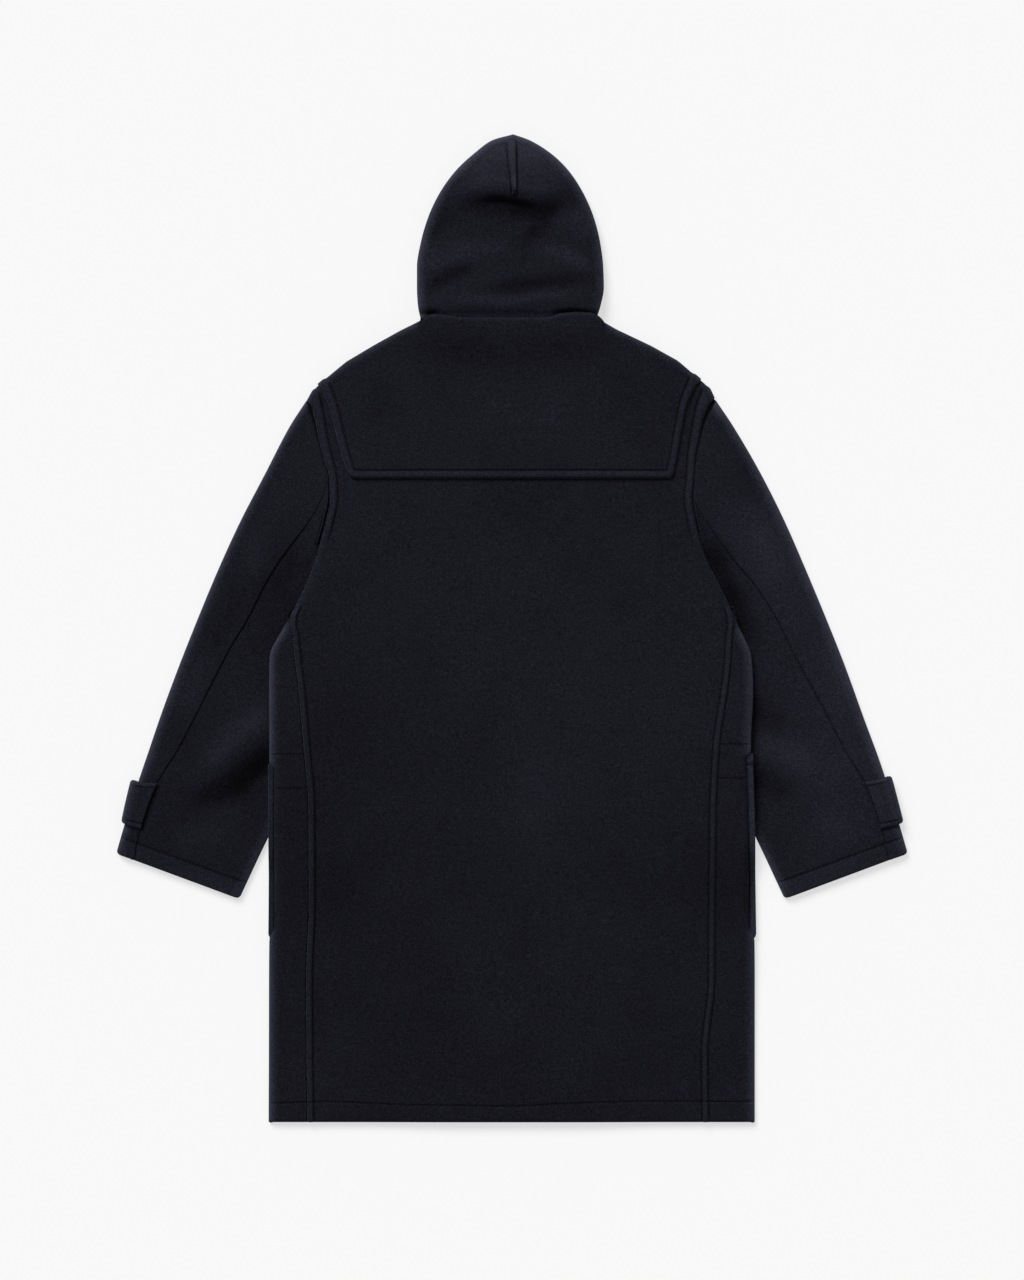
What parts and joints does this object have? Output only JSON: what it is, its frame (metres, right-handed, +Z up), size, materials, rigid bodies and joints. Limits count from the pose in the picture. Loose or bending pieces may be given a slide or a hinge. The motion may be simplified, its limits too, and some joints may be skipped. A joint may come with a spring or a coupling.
{
  "type": "duffle coat",
  "caption": "Hooded duffle coat in heavy navy melton, laid flat face down, with a shoulder yoke, cuff straps, patch pockets and a toggle closure underneath.",
  "frame": {"origin": "centre of the bounding box's floor: on the surface the coat lies on, midway between its cuffs and between hem and crown", "axes": "+X to the wearer's right, +Y from hem to hood, +Z up through the coat's back"},
  "size_m": [0.9894, 1.2341, 0.0269],
  "materials": {
    "back_melton": "brushed heavy melton wool, matt, with a short nap",
    "front_melton": "brushed heavy melton wool, matt, with a short nap",
    "sleeve_melton": "brushed heavy melton wool, matt, with a short nap",
    "hood_melton": "brushed heavy melton wool, matt, with a short nap",
    "pocket_melton": "brushed heavy melton wool, matt, with a short nap",
    "yoke_melton": "brushed heavy melton wool, matt, with a short nap",
    "trim_melton": "brushed heavy melton wool, matt, with a short nap",
    "horn": "polished dark horn",
    "leather": "plain dark leather"
  },
  "bodies": {
    "root": {"back": "back_melton", "catch_loop_1": "leather", "catch_loop_2": "leather", "catch_loop_3": "leather", "catch_loop_4": "leather", "cuff_strap_left": "trim_melton", "cuff_strap_right": "trim_melton", "front_left": "front_melton", "front_right": "front_melton", "hood_crown_band": "trim_melton", "hood_left": "hood_melton", "hood_right": "hood_melton", "loop_patch_1": "leather", "loop_patch_2": "leather", "loop_patch_3": "leather", "loop_patch_4": "leather", "pocket_flap_left": "trim_melton", "pocket_flap_right": "trim_melton", "pocket_left": "pocket_melton", "pocket_right": "pocket_melton", "toggle_1": "horn", "toggle_2": "horn", "toggle_3": "horn", "toggle_4": "horn", "toggle_cord_1": "leather", "toggle_cord_2": "leather", "toggle_cord_3": "leather", "toggle_cord_4": "leather", "toggle_patch_1": "leather", "toggle_patch_2": "leather", "toggle_patch_3": "leather", "toggle_patch_4": "leather", "under_sleeve_left": "sleeve_melton", "under_sleeve_right": "sleeve_melton", "upper_sleeve_left": "sleeve_melton", "upper_sleeve_right": "sleeve_melton", "yoke": "yoke_melton"}
  },
  "joints": []
}
